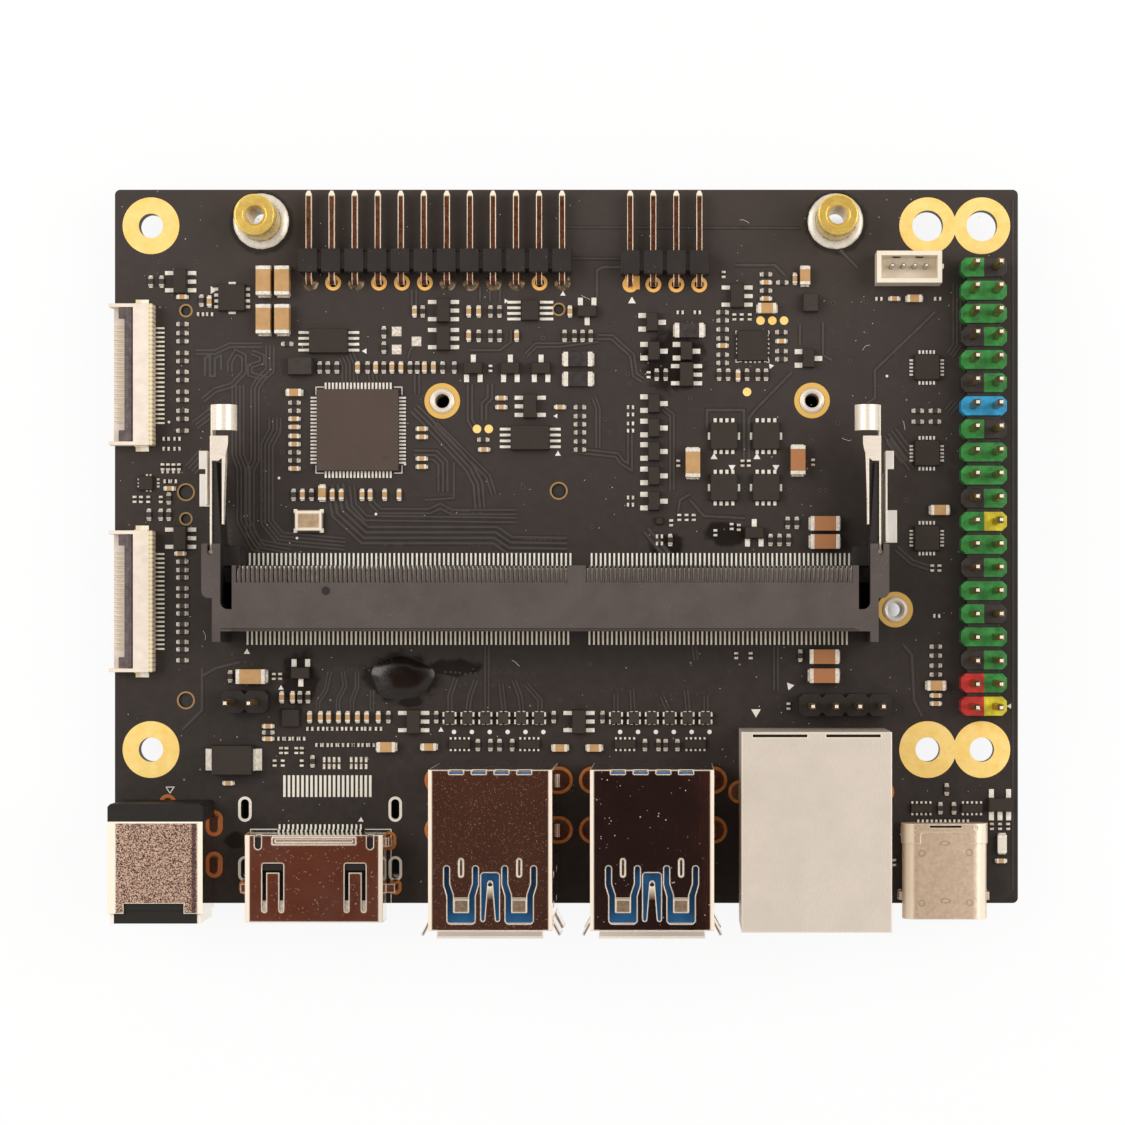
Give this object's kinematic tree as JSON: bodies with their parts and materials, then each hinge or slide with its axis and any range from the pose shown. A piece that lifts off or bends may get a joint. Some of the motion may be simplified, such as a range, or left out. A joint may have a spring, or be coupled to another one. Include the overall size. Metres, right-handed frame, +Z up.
{
  "type": "carrier board",
  "caption": "Flat circuit board with an angled-entry edge socket for a computer module, pin headers, two flip-latch cable sockets and a row of power, video, data and network sockets.",
  "frame": {"origin": "axis of the front left mounting hole, at the board's underside", "axes": "+X along the long edge to the right, +Y to the back edge away from the row of sockets, +Z up out of the parts side"},
  "size_m": [0.1003, 0.0813, 0.0218],
  "materials": {
    "board_resin": "satin",
    "gold_plate": "satin",
    "brass": "satin",
    "socket_plastic": "matte",
    "contact_metal": "satin",
    "spring_steel": "satin",
    "tinned_steel": "satin",
    "green_plastic": "satin",
    "black_plastic": "satin",
    "blue_plastic": "satin",
    "red_plastic": "satin",
    "yellow_plastic": "satin",
    "pin_metal": "satin",
    "cream_plastic": "satin",
    "latch_plastic": "satin",
    "shell_metal": "bright",
    "insert_plastic": "satin",
    "satin_nickel": "satin",
    "chip_resin": "matte",
    "capacitor_ceramic": "satin",
    "resistor_film": "satin",
    "coil_block": "satin",
    "lid_metal": "satin"
  },
  "bodies": {
    "board": {"circuit_board": "board_resin", "plated_pads": "gold_plate", "module_standoffs": "brass", "socket_housing": "socket_plastic", "socket_upper_contacts": "contact_metal", "socket_lower_contacts": "contact_metal", "socket_anchors": "tinned_steel", "header_cells_green": "green_plastic", "header_cells_black": "black_plastic", "header_cells_blue": "blue_plastic", "header_cells_red": "red_plastic", "header_cells_yellow": "yellow_plastic", "long_header_pins": "pin_metal", "side_header_body": "black_plastic", "side_header_pins": "pin_metal", "bus_header_body": "black_plastic", "bus_header_pins": "pin_metal", "debug_header_body": "black_plastic", "debug_header_pins": "pin_metal", "jumper_header_body": "black_plastic", "jumper_header_pins": "pin_metal", "fan_socket_body": "cream_plastic", "fan_socket_pins": "pin_metal", "camera_socket_back": "cream_plastic", "camera_contacts_back": "contact_metal", "camera_socket_front": "cream_plastic", "camera_contacts_front": "contact_metal", "power_jack_body": "black_plastic", "power_jack_shell": "shell_metal", "power_jack_pin": "pin_metal", "video_socket_shell": "shell_metal", "video_socket_insert": "black_plastic", "video_socket_contacts": "contact_metal", "left_stack_shell": "shell_metal", "left_stack_insert": "insert_plastic", "left_stack_contacts": "contact_metal", "right_stack_shell": "shell_metal", "right_stack_insert": "insert_plastic", "right_stack_contacts": "contact_metal", "network_jack_shell": "satin_nickel", "network_jack_body": "black_plastic", "network_jack_contacts": "contact_metal", "oval_socket_shell": "satin_nickel", "oval_socket_tongue": "black_plastic", "oval_socket_contacts": "contact_metal", "hub_chip": "chip_resin", "chip_bodies": "chip_resin", "chip_leads": "tinned_steel", "capacitors": "capacitor_ceramic", "resistors": "resistor_film", "part_ends": "tinned_steel", "coil_blocks": "coil_block", "crystal_can": "lid_metal", "card_sockets": "black_plastic", "card_contacts": "contact_metal", "card_standoffs": "satin_nickel"},
    "body_camera_latch_back": {"camera_latch_back": "latch_plastic"},
    "body_camera_latch_front": {"camera_latch_front": "latch_plastic"},
    "body_socket_latch_left": {"socket_latch_left": "spring_steel"},
    "body_socket_latch_right": {"socket_latch_right": "spring_steel"}
  },
  "joints": [
    {"name": "camera_latch_back_hinge", "type": "hinge", "parent": "board", "child": "body_camera_latch_back", "pos_m": [-0.00215, 0.0414, 0.00305], "axis": [0, 1, 0], "range_deg": [0, 90]},
    {"name": "camera_latch_front_hinge", "type": "hinge", "parent": "board", "child": "body_camera_latch_front", "pos_m": [-0.00215, 0.0164, 0.00305], "axis": [0, 1, 0], "range_deg": [0, 90]},
    {"name": "socket_latch_left_hinge", "type": "hinge", "parent": "board", "child": "body_socket_latch_left", "pos_m": [0.00775, 0.0217, 0.0068], "axis": [0, 0, 1], "range_deg": [0, 3], "stiffness_Nm_per_rad": 0.1},
    {"name": "socket_latch_right_hinge", "type": "hinge", "parent": "board", "child": "body_socket_latch_right", "pos_m": [0.08025, 0.0217, 0.0068], "axis": [0, 0, -1], "range_deg": [0, 3], "stiffness_Nm_per_rad": 0.1}
  ]
}
